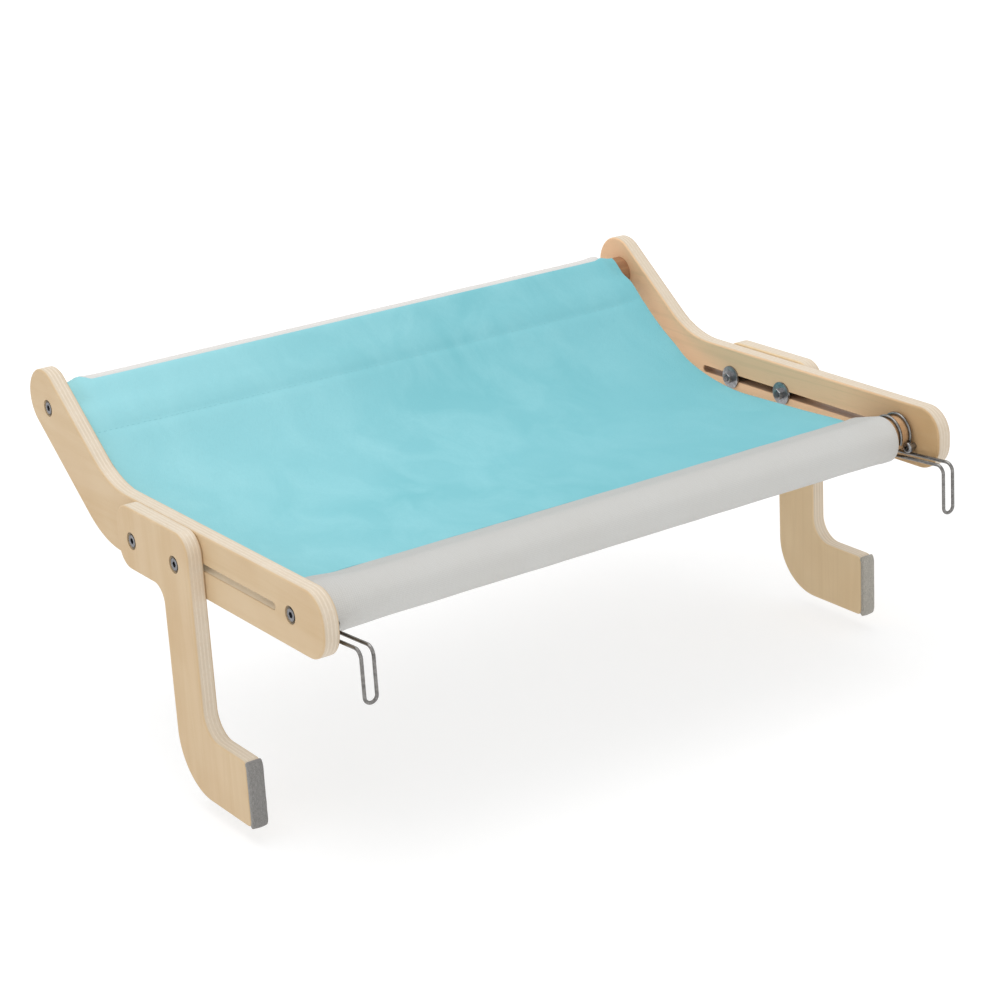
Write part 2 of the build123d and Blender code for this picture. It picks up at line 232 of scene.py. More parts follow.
@dataclass(frozen=True)
class Plywood(Finish):
    """Clear-finished birch plywood, whose layers show on every cut edge.

    Its face veneer has darker heartwood in random blotches; a further share of that tone, set per piece, is
    painted shade over the whole face. Its inner face may carry painted warm light, most of all at its back.
    The slot's walls
    may carry a painted tone: a dark one for painted shade, a pale one for painted light.
    """

    grain: Grain
    painted_shade_share: float = 0.0
    painted_inner_light_share: float = 0.0
    slot_painted_light_shade: Colour | None = None
    face: Colour = linear(210, 185, 149)
    streak: Colour = linear(199, 171, 131)
    heart_and_shade: Colour = linear(189, 152, 104)
    inner_painted_light: Colour = linear(241, 199, 159)
    pale_layer: Colour = linear(226, 213, 195)
    dark_layer: Colour = linear(212, 196, 173)
    glue_line: Colour = linear(182, 155, 122)
    glue_share: float = 0.22
    slot_middle: float = 23 * MM
    slot_half: float = 4.5 * MM
    slot_ends: Point = (12 * MM, 231 * MM)
    inner_face: float = 253 * MM
    thickness: float = 12 * MM
    layers: int = 9
    roughness: float = 0.5

    def material(self) -> Material:
        """Makes the plywood.

        Returns:
            The material.
        """
        s = self.shader()
        place = s.place()
        x, y, z = s.axes(place)
        depth = s.math("DIVIDE", s.math("SUBTRACT", s.math("ABSOLUTE", x), self.inner_face), self.thickness)
        share = s.math("FRACT", depth)
        to_face = s.math("MINIMUM", share, s.math("SUBTRACT", 1.0, share))
        inside = s.spread(to_face, 0.5 / self.layers, 1.2 / self.layers)

        run = s.stretched(place, self.grain.value)
        fine = s.noise(run, 900, 4, 0.6)
        figure = s.noise(run, 70, 3, 0.55, 0.8)
        rings = s.math("SINE", s.math("MULTIPLY", s.noise(run, 16, 2, 0.4, 0.5), 90))
        veneer = s.veil(self.face, self.streak, figure, 0.42, 0.7, 0.42)
        blotch = s.noise(place, 22, 2)
        # Random heartwood blotches; the further share set per piece is painted shade, darkening the whole
        # face.
        veneer = s.veil(veneer, self.heart_and_shade, blotch, 0.35, 0.75, self.painted_shade_share + 0.3, self.painted_shade_share)
        # Painted warm light on the inner face, growing towards its back.
        painted_inner_light_mask = s.math("MULTIPLY", s.spread(depth, 0.15, 0.05), s.spread(y, -30 * MM, 60 * MM))
        veneer = s.mix(s.math("MULTIPLY", painted_inner_light_mask, self.painted_inner_light_share), veneer, self.inner_painted_light)
        veneer = s.veil(veneer, self.streak, rings, 0.6, 1.0, 0.2)
        veneer = s.veil(veneer, self.streak, fine, 0.55, 0.8, 0.3)

        layer = s.math("MULTIPLY", share, float(self.layers))
        odd = s.math("MODULO", s.math("FLOOR", layer), 2.0)
        in_layer = s.math("ABSOLUTE", s.math("SUBTRACT", s.math("FRACT", layer), 0.5))
        glue = s.math("MULTIPLY", s.spread(in_layer, 0.4, 0.48), self.glue_share)
        pores = s.noise(s.stretched(place, (1, 0.25, 0.25)), 1600, 3, 0.6)
        patchy = s.noise(place, 60, 2)
        cut = s.veil(self.pale_layer, self.face, pores, 0.4, 0.75, 0.5)
        cut = s.mix(s.math("MULTIPLY", odd, s.spread(patchy, 0.25, 0.75, 0.3, 1.0)), cut, self.dark_layer)
        cut = s.mix(glue, cut, self.glue_line)
        # Painted tone on the slot's walls over their cut layers: a dark one is painted shade, a pale one
        # painted light.
        if self.slot_painted_light_shade is not None:
            off_middle = s.math("ABSOLUTE", s.math("SUBTRACT", z, self.slot_middle))
            slot_light_shade_mask = s.math("MULTIPLY", s.math("LESS_THAN", off_middle, self.slot_half),
                            s.math("GREATER_THAN", y, self.slot_ends[0]))
            slot_light_shade_mask = s.math("MULTIPLY", slot_light_shade_mask, s.math("LESS_THAN", y, self.slot_ends[1]))
            slot_light_shade_mask = s.math("MULTIPLY", slot_light_shade_mask, s.spread(patchy, 0.2, 0.8, 0.55, 0.8))
            cut = s.mix(slot_light_shade_mask, cut, self.slot_painted_light_shade)

        gloss = s.spread(figure, 0.3, 0.7, self.roughness - 0.06, self.roughness + 0.08)
        bent = s.bump(figure, 0.3, 0.3 * MM, s.bump(fine, 0.35, 0.12 * MM))
        return s.surface(Base_Color=s.mix(inside, veneer, cut), Roughness=gloss, Normal=bent,
                         Specular_IOR_Level=0.4)


@dataclass(frozen=True)
class TurnedWood(Finish):
    """Plain sanded wood of a dowel, with its grain along it."""

    body: Colour = linear(200, 160, 118)
    streak: Colour = linear(160, 116, 78)

    def material(self) -> Material:
        """Makes the dowel's wood.

        Returns:
            The material.
        """
        s = self.shader()
        run = s.stretched(s.place(), (0.04, 1, 1))
        flecks = s.noise(run, 1100, 4, 0.6)
        bands = s.noise(run, 130, 3, 0.55, 0.6)
        colour = s.veil(self.body, self.streak, bands, 0.4, 0.7, 0.55)
        colour = s.veil(colour, self.streak, flecks, 0.55, 0.75, 0.5)
        return s.surface(Base_Color=colour, Roughness=0.6, Normal=s.bump(flecks, 0.4, 0.15 * MM),
                         Specular_IOR_Level=0.35)


@dataclass(frozen=True)
class BareMetal(Finish):
    """Plated or drawn steel, whose marks may be drawn out along an axis."""

    bright: Colour
    dull: Colour
    roughness: float
    marks: float
    drawn: tuple[float, float, float] = (1, 1, 1)

    def material(self) -> Material:
        """Makes the metal.

        Returns:
            The material.
        """
        s = self.shader()
        place = s.stretched(s.place(), self.drawn)
        cloud = s.noise(place, 420, 3, 0.6)
        scratch = s.noise(s.stretched(place, (1, 4, 0.6)), 2600, 3, 0.65)
        gloss = s.spread(scratch, 0.3, 0.75, self.roughness - 0.07, self.roughness + 0.14)
        return s.surface(Base_Color=s.veil(self.bright, self.dull, cloud, 0.35, 0.7), Metallic=1.0,
                         Roughness=gloss, Normal=s.bump(scratch, self.marks, 0.04 * MM))


@dataclass(frozen=True)
class Plush(Finish):
    """Short-pile velvet, brushed this way and that."""

    body: Colour = linear(138, 201, 210)
    brushed: Colour = linear(125, 193, 202)
    lifted: Colour = linear(153, 212, 220)
    painted_lit_velvet: Colour = linear(166, 221, 228)
    painted_shaded_velvet: Colour = linear(118, 187, 197)

    def material(self) -> Material:
        """Makes the velvet, with painted light towards the back left and painted shade towards the front
        right.

        Returns:
            The material.
        """
        s = self.shader()
        place = s.cloth_place()
        wide = s.noise(place, 7, 3, 0.55, 0.4)
        hands = s.noise(s.stretched(place, (1, 0.6, 1)), 26, 4, 0.6, 0.6)
        pile = s.noise(s.stretched(place, (1, 0.55, 1)), 620, 4, 0.7)
        tufts = s.noise(place, 1500, 2, 0.6)
        across, along, _ = s.axes(place)
        # Painted light towards the back left and painted shade towards the front right, along this slope
        # across the cloth.
        painted_light_slope = s.math("SUBTRACT", s.math("MULTIPLY", along, 0.9), across)
        colour = s.veil(self.body, self.brushed, wide, 0.35, 0.65)
        colour = s.veil(colour, self.lifted, hands, 0.42, 0.72, 0.7)
        colour = s.veil(colour, self.brushed, pile, 0.35, 0.75, 0.35)
        colour = s.veil(colour, self.painted_lit_velvet, painted_light_slope, -60 * MM, 300 * MM, 0.75)
        colour = s.veil(colour, self.painted_shaded_velvet, painted_light_slope, -80 * MM, -300 * MM, 0.6)
        bent = s.bump(hands, 0.3, 1.2 * MM)
        bent = s.bump(pile, 0.45, 0.5 * MM, bent)
        bent = s.bump(tufts, 0.3, 0.3 * MM, bent)
        return s.surface(Base_Color=colour, Roughness=0.95, Normal=bent, Sheen_Weight=0.25,
                         Sheen_Roughness=0.5, Sheen_Tint=self.lifted, Specular_IOR_Level=0.15)


@dataclass(frozen=True)
class Canvas(Finish):
    """Plain-woven polyester canvas, which may carry painted shade on one stretch of its loop."""

    thread: Colour = linear(211, 211, 208)
    gap: Colour = linear(186, 185, 182)
    soil: Colour = linear(202, 200, 195)
    pitch: float = 1.05 * MM
    painted_crown_shade: float = 0.0
    painted_crown_run: Point = (40 * MM, 64 * MM)

    def material(self) -> Material:
        """Makes the canvas, with one crossing of threads at each pitch.

        Returns:
            The material.
        """
        s = self.shader()
        place = s.cloth_place()
        x, y, _ = s.axes(place)
        drift = s.math("MULTIPLY", s.noise(place, 45, 2), 0.8)
        across, along = (s.math("ADD", s.math("DIVIDE", axis, self.pitch), drift) for axis in (x, y))
        warp, weft = (s.math("ABSOLUTE", s.math("SINE", s.math("MULTIPLY", count, math.pi)))
                      for count in (across, along))
        turn = s.math("ADD", s.math("FLOOR", across), s.math("FLOOR", along))
        over = s.math("ABSOLUTE", s.math("MODULO", turn, 2.0))
        height = s.math("ADD", s.math("MULTIPLY", warp, over),
                        s.math("MULTIPLY", weft, s.math("SUBTRACT", 1.0, over)))
        slubs = s.noise(s.stretched(place, (1, 0.08, 1)), 700, 2)
        clouds = s.noise(place, 18, 3, 0.55)
        colour = s.veil(self.gap, self.thread, height, 0.1, 0.75, 1.0, 0.45)
        colour = s.veil(colour, self.soil, slubs, 0.5, 0.8, 0.3)
        colour = s.veil(colour, self.soil, clouds, 0.35, 0.75, 0.35)
        # Painted shade: darkens the loop from its seam over its crown, fading out towards the front.
        if self.painted_crown_shade:
            colour = s.veil(colour, BLACK, y, *self.painted_crown_run, 0.0, self.painted_crown_shade)
        bent = s.bump(clouds, 0.3, 1.2 * MM, s.bump(height, 0.4, 0.18 * MM))
        return s.surface(Base_Color=colour, Roughness=0.85, Normal=bent, Sheen_Weight=0.12,
                         Sheen_Roughness=0.6, Specular_IOR_Level=0.2)


@dataclass(frozen=True)
class Felt(Finish):
    """Pressed wool felt, mottled by its fibres."""

    dark: Colour
    pale: Colour

    def material(self) -> Material:
        """Makes the felt.

        Returns:
            The material.
        """
        s = self.shader()
        place = s.place()
        fibres = s.noise(s.stretched(place, (1, 1, 0.35)), 1500, 5, 0.75, 1.2)
        cross = s.noise(s.stretched(place, (0.35, 1, 1)), 1900, 4, 0.7, 1.0)
        lumps = s.noise(place, 260, 3, 0.6)
        colour = s.veil(self.dark, self.pale, fibres, 0.35, 0.68)
        colour = s.veil(colour, self.dark, cross, 0.5, 0.75, 0.5)
        bent = s.bump(lumps, 0.5, 0.7 * MM, s.bump(fibres, 0.7, 0.4 * MM))
        return s.surface(Base_Color=colour, Roughness=0.95, Normal=bent, Sheen_Weight=0.3,
                         Sheen_Roughness=0.5, Specular_IOR_Level=0.15)


@dataclass(frozen=True)
class Thread(Finish):
    """Sewing thread, with the shade of its twist as a share of its colour."""

    body: Colour
    shade: float = 0.8

    def material(self) -> Material:
        """Makes the thread.

        Returns:
            The material.
        """
        s = self.shader()
        twist = s.noise(s.place(), 2600, 2, 0.6)
        dark = tuple(value * self.shade for value in self.body)
        return s.surface(Base_Color=s.veil(self.body, dark, twist, 0.4, 0.7), Roughness=0.7,
                         Normal=s.bump(twist, 0.5, 0.1 * MM))


def toward(origin: Point, angle: float, distance: float) -> Point:
    """The point at a distance and an angle, in degrees, from another point of the side view."""
    turn = math.radians(angle)
    return origin[0] + distance * math.cos(turn), origin[1] + distance * math.sin(turn)


def heading(start: Point, end: Point) -> float:
    """The angle from one point of the side view to another, in degrees."""
    return math.degrees(math.atan2(end[1] - start[1], end[0] - start[0]))


def tangent_points(centre: Point, radius: float, apex: Point) -> tuple[Point, Point]:
    """Finds where the two tangents from an apex touch a circle.

    Args:
        centre: The circle's centre.
        radius: Its radius.
        apex: The apex.

    Returns:
        The upper point and the lower one.
    """
    facing = heading(centre, apex)
    spread = math.degrees(math.acos(radius / math.dist(centre, apex)))
    both = [toward(centre, facing + spread, radius), toward(centre, facing - spread, radius)]
    return max(both, key=lambda p: p[1]), min(both, key=lambda p: p[1])


def step_at(run: Sequence[float], distance: float) -> tuple[int, float]:
    """The number of the step of a path at a distance along it, and the share of that step."""
    i = min(bisect_left(run, distance, 1) - 1, len(run) - 2)
    return i, (distance - run[i]) / (run[i + 1] - run[i])


class SidePath:
    """A path of straight runs and arcs in the side view, with the distance of each of its points along it.

    Args:
        start: Its first point.
    """

    ARC_STEP = 2.0

    def __init__(self, start: Point) -> None:
        """Starts the path."""
        self.points, self.run = [start], [0.0]

    @property
    def length(self) -> float:
        """Its whole length."""
        return self.run[-1]

    def line(self, end: Point) -> SidePath:
        """Adds a straight run.

        Args:
            end: Where it ends.

        Returns:
            The path.
        """
        self.run.append(self.length + math.dist(self.points[-1], end))
        self.points.append(end)
        return self

    def arc(self, centre: Point, start_angle: float, end_angle: float, radius: float) -> SidePath:
        """Adds an arc.

        Args:
            centre: Its centre.
            start_angle: Where it starts, in degrees.
            end_angle: Where it ends, in degrees.
            radius: Its radius.

        Returns:
            The path.
        """
        steps = max(2, round(abs(end_angle - start_angle) / self.ARC_STEP))
        for i in range(1, steps + 1):
            angle = start_angle + (end_angle - start_angle) * i / steps
            self.line(toward(centre, angle, radius))
        return self

    def read(self, distance: float) -> tuple[Point, Point]:
        """Reads the path.

        Args:
            distance: The distance along it.

        Returns:
            The point there, and the upward or outward normal.
        """
        i, share = step_at(self.run, distance)
        (y, z), (next_y, next_z) = self.points[i:i + 2]
        back, up, step = next_y - y, next_z - z, self.run[i + 1] - self.run[i]
        return (y + back * share, z + up * share), (-up / step, back / step)


def smooth(value: float, low: float, high: float) -> float:
    """Rises smoothly from 0 at the low value to 1 at the high one."""
    share = min(1.0, max(0.0, (value - low) / (high - low)))
    return share * share * (3 - 2 * share)


def fade(value: float, low: float, high: float) -> float:
    """Falls smoothly from 1 at the low value to 0 at the high one."""
    return 1 - smooth(value, low, high)


@dataclass(frozen=True)
class Folds:
    """Soft random folds of a height and a size, drawn out along the cloth where their squeeze is under 1."""

    height: float
    size: float
    seed: float
    squeeze: float = 1.0

    def at(self, x: float, run: float = 0.0, more_seed: float = 0.0) -> float:
        """Their height at a place of the cloth, from minus to plus the full height."""
        place = Vector((x / self.size, run * self.squeeze / self.size, self.seed + more_seed))
        return self.height * noise.noise(place)


@dataclass(frozen=True)
class Ridge:
    """A soft ridge along the cloth's width, or a groove where its height is negative."""

    height: float
    place: float
    width: float

    def at(self, distance: float) -> float:
        """Its height at a distance from the seam."""
        return self.height * math.exp(-(((distance - self.place) / self.width) ** 2))


def deselect() -> None:
    """Leaves edit mode and selects nothing."""
    if bpy.context.mode != "OBJECT":
        bpy.ops.object.mode_set(mode="OBJECT")
    bpy.ops.object.select_all(action="DESELECT")


def take(piece: Piece) -> None:
    """Makes one piece the only selected and the active one.

    Args:
        piece: The piece.
    """
    deselect()
    piece.select_set(True)
    bpy.context.view_layer.objects.active = piece


def apply_modifier(piece: Piece, kind: str, **settings: object) -> None:
    """Adds a modifier to a piece and applies it.

    Args:
        piece: The piece.
        kind: The modifier's type.
        settings: Its settings.
    """
    take(piece)
    modifier = piece.modifiers.new(kind, kind)
    for key, value in settings.items():
        setattr(modifier, key, value)
    bpy.ops.object.modifier_apply(modifier=modifier.name)


def finish_piece(piece: Piece, finish: Finish, slot: Slot, body: Body = Body.FRAME,
                 angle: float = 40.0) -> Piece:
    """Smooths a piece, gives it its finish and lets it ride on its body.

    Args:
        piece: The piece.
        finish: Its finish.
        slot: The record's finish that it takes; not used.
        body: What it moves with.
        angle: The sharpest turn that is still smooth, in degrees.

    Returns:
        The piece.
    """
    take(piece)
    bpy.ops.object.transform_apply(location=True, rotation=True, scale=True)
    bpy.ops.object.shade_smooth_by_angle(angle=math.radians(angle))
    piece.data.materials.clear()
    piece.data.materials.append(finish.material())
    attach(piece, body.value)
    deselect()
    LOG.info("made %s with %d faces", piece.name, len(piece.data.polygons))
    return piece


@dataclass(frozen=True)
class Fabric:
    """A cloth's thickness, its side of the surface (1 above, -1 below, 0 both), its cells and its edges.

    The ends along a closed one meet.
    """

    thickness: float
    rise: float
    cells_across: int
    cell: float
    closed: bool = False
    edge_share: float = 0.3
    join_distance: float = 0.02 * MM

    def lay(self, name: str, size: Point, shape: Callable[[float, float], Vector]) -> Piece:
        """Lays a cloth out in space.

        Args:
            name: The piece's name.
            size: The flat cloth's width and length.
            shape: The place of a point of the cloth, from its shares across and along.

        Returns:
            The cloth, with its flat place in metres as its UV map.
        """
        deselect()
        bpy.ops.mesh.primitive_grid_add(x_subdivisions=self.cells_across,
                                        y_subdivisions=round(size[1] / self.cell), size=1)
        piece = bpy.context.active_object
        piece.name = piece.data.name = name
        mesh = piece.data
        layer = mesh.uv_layers.active or mesh.uv_layers.new()
        layer.name = "cloth"
        flat = [(v.co.x + 0.5, v.co.y + 0.5) for v in mesh.vertices]
        for loop in mesh.loops:
            u, v = flat[loop.vertex_index]
            layer.data[loop.index].uv = (u * size[0], v * size[1])
        for vertex, (u, v) in zip(mesh.vertices, flat):
            vertex.co = shape(u, v)
        if self.closed:
            take(piece)
            bpy.ops.object.mode_set(mode="EDIT")
            bpy.ops.mesh.select_all(action="SELECT")
            bpy.ops.mesh.remove_doubles(threshold=self.join_distance)
            bpy.ops.mesh.normals_make_consistent(inside=False)
            bpy.ops.object.mode_set(mode="OBJECT")
        apply_modifier(piece, "SOLIDIFY", thickness=self.thickness, offset=self.rise)
        apply_modifier(piece, "BEVEL", width=self.edge_share * self.thickness, segments=2,
                       limit_method="ANGLE", angle_limit=math.radians(60))
        return piece


@dataclass
class SewingLine:
    """A row of stitches along a line on the cloth."""

    stitch: float = 3.2 * MM
    space: float = 1.3 * MM
    thickness: float = 0.55 * MM

    def sew(self, name: str, line: Sequence[Vector]) -> Piece:
        """Sews all the stitches of a line as one piece.

        Args:
            name: The piece's name.
            line: The line as points, close together.

        Returns:
            The stitches.
        """
        deselect()
        bpy.ops.mesh.primitive_uv_sphere_add(segments=6, ring_count=4, radius=0.5)
        piece = bpy.context.active_object
        piece.name = piece.data.name = name
        stitch = piece.data.copy()
        joined = bmesh.new()
        run = [0.0, *accumulate(math.dist(a, b) for a, b in zip(line, line[1:]))]
        pitch = self.stitch + self.space
        for i in range(int(run[-1] // pitch)):
            steps = (step_at(run, distance) for distance in (i * pitch, i * pitch + self.stitch))
            start, end = (line[step].lerp(line[step + 1], share) for step, share in steps)
            along = end - start
            turn = along.to_track_quat("Z", "Y").to_matrix().to_4x4()
            scale = Matrix.Diagonal((self.thickness, self.thickness, along.length, 1))
            copy = stitch.copy()
            copy.transform(Matrix.Translation((start + end) / 2) @ turn @ scale)
            joined.from_mesh(copy)
            bpy.data.meshes.remove(copy)
        joined.to_mesh(piece.data)
        joined.free()
        bpy.data.meshes.remove(stitch)
        return piece


@dataclass(frozen=True)
class Sleeve:
    """A canvas sleeve round a dowel, with loose, hemmed ends.

    The centre is the dowel's axis, and the seed makes its folds its own. Zones are distances from the seam or
    from a rim, and turns are angles round the dowel.
    """

    name: str
    centre: Point
    seam: Point
    radius: float
    half_width: float
    seed: float
    fabric: Fabric = Fabric(1.7 * MM, 0.0, 200, 2.0 * MM, closed=True)
    rim_wave: Folds = Folds(0.3 * MM, 18 * MM, 0.0)
    folds: Folds = Folds(0.3 * MM, 30 * MM, 1.0)
    puckers: Folds = Folds(0.35 * MM, 19 * MM, 2.0, 0.4)
    pucker_zone: Point = (4 * MM, 30 * MM)
    free_zone: Point = (6 * MM, 18 * MM)
    rim_zone: Point = (0.0, 30 * MM)
    flare: float = 0.5 * MM
    flare_zone: Point = (0.0, 45 * MM)
    hem: float = 0.3 * MM
    hem_zone: Point = (8.5 * MM, 9.5 * MM)
    # How far its left rim laps over the hook's loops, and how far it lifts there.
    lap: float = 0.0
    lap_turn: Point = (-0.35, -0.05)
    lap_zone: Point = (7 * MM, 22 * MM)
    lap_lift: float = 2.0 * MM
    lift_zone: Point = (10 * MM, 28 * MM)
    # How far its right rim is drawn in, so that the hook's loops show.
    draw: float = 0.0
    draw_rim: Point = (0.0, 40 * MM)
    draw_zone: Point = (8 * MM, 28 * MM)
    # How much lower than the dowel it hangs where it is slack, and what of that its crown takes up.
    sag: float = 0.0
    sag_rise: float = 0.3
    # How far it has slipped to the left, and how far its ends are tucked in under the velvet's corners.
    slip: float = 0.0
    tuck: float = 0.0
    # How far it stands off the dowel behind the velvet's edge.
    stand: float = 0.0
    stand_turns: tuple[Point, Point] = ((1.15, 1.5), (2.3, 2.9))

    @cached_property
    def path(self) -> SidePath:
        """The closed path round the dowel, from the seam and back to it.

        Returns:
            The closed path.
        """
        upper, lower = tangent_points(self.centre, self.radius, self.seam)
        high, low = heading(self.centre, upper), heading(self.centre, lower)
        path = SidePath(self.seam)
        if self.seam[0] > self.centre[0]:
            path.line(upper).arc(self.centre, high, low + 360, self.radius)
        else:
            path.line(lower).arc(self.centre, low, high if high > low else high + 360, self.radius)
        return path.line(self.seam)

    def shape(self, u: float, v: float) -> Vector:
        """Places a point of the sleeve.

        Args:
            u: Its share across.
            v: Its share round the dowel.

        Returns:
            The place.
        """
        run, side = v * self.path.length, 2 * u - 1
        inward = (self.rim_wave.height + self.rim_wave.at(run, more_seed=self.seed)) * abs(side)
        x = side * (self.half_width - inward)
        (y, z), (ny, nz) = self.path.read(run)
        to_seam, to_rim = min(run, self.path.length - run), self.half_width - abs(x)
        free = smooth(to_seam, *self.free_zone)
        around = math.atan2(z - self.centre[1], self.centre[0] - y)
        off = self.folds.at(x, run, self.seed)
        off += self.flare * fade(to_rim, *self.flare_zone) * free + self.hem * fade(to_rim, *self.hem_zone)
        off += self.puckers.at(x, run, self.seed) * fade(to_seam, *self.pucker_zone)
        off += self.stand * smooth(around, *self.stand_turns[0]) * fade(around, *self.stand_turns[1])
        off += self.sag * (self.sag_rise - 0.5 * math.sin(around))
        x -= self.tuck * side * fade(to_rim, *self.rim_zone)
        if self.lap and side < 0:
            lapping = smooth(around, *self.lap_turn) * smooth(to_seam, *self.lap_zone)
            x -= self.lap * lapping * fade(to_rim, *self.rim_zone)
            off += self.lap_lift * lapping * fade(to_rim, *self.lift_zone)
        if side > 0:
            x -= self.draw * fade(to_rim, *self.draw_rim) * smooth(to_seam, *self.draw_zone)
        return Vector((x - self.slip, y - ny * off * free, z - nz * off * free))

    def make(self) -> Piece:
        """Makes the sleeve."""
        return self.fabric.lay(self.name, (2 * self.half_width, self.path.length), self.shape)


@dataclass
class Cloth:
    """The sewn sling: a sleeve round each dowel, a canvas underside and a velvet top.

    Points are distances back and up in the side view. Zones are distances along the cloth or from its sides.
    """

    half_width: float = 239.4 * MM
    rear_half_width: float = 247 * MM
    widening: Point = (226 * MM, 250 * MM)
    slip: float = 5.2 * MM
    front_dowel: Point = (0.0, 23 * MM)
    rear_dowel: Point = (328.225 * MM, 83.335 * MM)
    dowel_radius: float = 12.5 * MM
    gap: float = 0.3 * MM
    sleeve_wall: float = 2.6 * MM
    front_seam: Point = (46 * MM, 22 * MM)
    low: Point = (225.225 * MM, 13 * MM)
    back_seam: float = 46 * MM
    sling_radius: float = 183.43 * MM
    crown_angle: float = 112.0
    front_lap: float = 5.5 * MM
    crease_set_back: float = 6 * MM
    velvet: Fabric = Fabric(2.4 * MM, 1.0, 176, 2.5 * MM)
    canvas: Fabric = Fabric(1.6 * MM, -1.0, 176, 2.5 * MM)
    layer_clearance: float = 0.04 * MM
    # The folds, the drawn crease and the pressed and lifted edges of the sling.
    wide_folds: Folds = Folds(0.9 * MM, 150 * MM, 1.0)
    small_folds: Folds = Folds(0.35 * MM, 42 * MM, 2.0)
    front_pull: Folds = Folds(0.55 * MM, 21 * MM, 3.0, 0.25)
    front_pull_zone: Point = (4 * MM, 60 * MM)
    crease_pull: Folds = Folds(0.5 * MM, 17 * MM, 4.0, 0.3)
    crease_pull_zone: Point = (2 * MM, 26 * MM)
    groove: Ridge = Ridge(-0.9 * MM, 0.0, 4.0 * MM)
    swell: Ridge = Ridge(0.7 * MM, 15 * MM, 11 * MM)
    side_wave: Folds = Folds(0.5 * MM, 60 * MM, 5.0)
    side_calm: float = 0.35
    calm_zone: Point = (0.0, 10 * MM)
    side_lift: float = 1.1 * MM
    lift_zone: Point = (0.0, 45 * MM)
    lift_run: Point = (30 * MM, 120 * MM)
    front_press: float = 1.5 * MM
    press_run: Point = (0.0, 7 * MM)
    front_wave: Folds = Folds(0.9 * MM, 0.06, 6.0)
    front_wave_run: Point = (0.0, 14 * MM)
    # The velvet on the rear dowel and its corners there, as distances before its rear edge and shares across.
    on_dowel_run: Point = (-30 * MM, -14 * MM)
    dowel_calm: float = 0.8
    corner_fall: float = 2.8 * MM
    fall_shares: Point = (0.94, 0.99)
    corner_reach: float = 8 * MM
    reach_shares: Point = (0.92, 0.95)
    right_reach: float = 0.3
    corner_turn: float = 45.0
    # The stitches of the crease.
    stitch_line_share: float = 0.985
    stitch_line_steps: int = 188
    stitch_depth: float = 0.05 * MM
    plush: Plush = Plush("turquoise_velvet")
    thread: Thread = Thread("turquoise_thread", Plush.body)
    plain_canvas: Canvas = Canvas("grey_canvas")
    # The front sleeve's crown carries painted shade.
    front_canvas: Canvas = Canvas("grey_canvas_front", painted_crown_shade=0.2)
    # The rear sleeve's paler canvas is painted light.
    rear_canvas: Canvas = Canvas("painted_light_canvas_rear", linear(226, 223, 220), linear(206, 203, 200),
                                 linear(216, 212, 207))

    @property
    def outer_radius(self) -> float:
        """How far the sleeves' outside is from the dowels' axes."""
        return self.dowel_radius + self.gap + self.sleeve_wall

    @cached_property
    def crease_run(self) -> float:
        """How far along the velvet its sewn crease is."""
        return self.front_lap + self.sling_path(False).length + self.crease_set_back

    def back_touch(self) -> tuple[Point, float]:
        """Where the sling's climb touches the rear sleeve, and the climb's angle."""
        touch = tangent_points(self.rear_dowel, self.outer_radius, self.low)[0]
        return touch, heading(self.low, touch)

    def front_edge(self) -> Point:
        """The velvet's front edge, which lies on the front sleeve just past its seam."""
        upper = tangent_points(self.front_dowel, self.outer_radius, self.front_seam)[0]
        return toward(self.front_seam, heading(self.front_seam, upper), self.front_lap)

    def sling_path(self, to_crown: bool) -> SidePath:
        """Leads along the sling's middle surface from the front seam, by its low bend, to its back.

        Args:
            to_crown: Whether it starts at the velvet's front edge and goes on over the rear dowel.

        Returns:
            The path.
        """
        touch, climb = self.back_touch()
        dip = heading(self.front_seam, self.low)
        tangent = self.sling_radius * math.tan(math.radians((climb - dip) / 2))
        bend_start = toward(self.low, dip + 180, tangent)
        centre = toward(bend_start, dip + 90, self.sling_radius)
        path = SidePath(self.front_edge()).line(self.front_seam) if to_crown else SidePath(self.front_seam)
        path.line(bend_start).arc(centre, dip - 90, climb - 90, self.sling_radius)
        if to_crown:
            return path.line(touch).arc(self.rear_dowel, climb + 90, self.crown_angle, self.outer_radius)
        return path.line(toward(touch, climb + 180, self.back_seam))

    def reach(self, share: float, y: float) -> float:
        """How far out a point of the sling is.

        Args:
            share: Its share of the width, from -1 at the left edge to 1 at the right.
            y: How far back it is.

        Returns:
            Its place across, with the rear's widening and its slip to the left.
        """
        wide = smooth(y, *self.widening)
        half = self.half_width + (self.rear_half_width - self.half_width) * wide
        return share * half - self.slip * wide

    def drape(self, x: float, run: float) -> float:
        """How far the sling stands off its plain surface, from soft folds and the drawn crease.

        Args:
            x: The place across.
            run: The distance along the cloth from its front edge.

        Returns:
            The height along the surface's normal.
        """
        from_crease, from_side = run - self.crease_run, self.half_width - abs(x)
        folds = self.wide_folds.at(x, run) + self.small_folds.at(x, run)
        folds += self.front_pull.at(x, run) * fade(run, *self.front_pull_zone)
        folds += self.crease_pull.at(x, run) * fade(abs(from_crease), *self.crease_pull_zone)
        folds += self.groove.at(from_crease) + self.swell.at(from_crease)
        folds *= self.side_calm + (1 - self.side_calm) * smooth(from_side, *self.calm_zone)
        lift = self.side_lift * fade(from_side, *self.lift_zone) * smooth(run, *self.lift_run)
        return folds + lift - self.front_press * fade(run, *self.press_run)

    def sheet(self, name: str, is_top: bool) -> Piece:
        """Makes the sling's velvet top or its canvas underside.

        Args:
            name: The piece's name.
            is_top: Whether it is the velvet, which goes on over the rear dowel.

        Returns:
            The cloth.
        """
        path = self.sling_path(is_top)
        length = path.length
        if is_top:
            corner_end = self.crown_angle - self.corner_turn
            path.arc(self.rear_dowel, self.crown_angle, corner_end, self.outer_radius)
        fabric = self.velvet if is_top else self.canvas
        clear = self.layer_clearance * fabric.rise

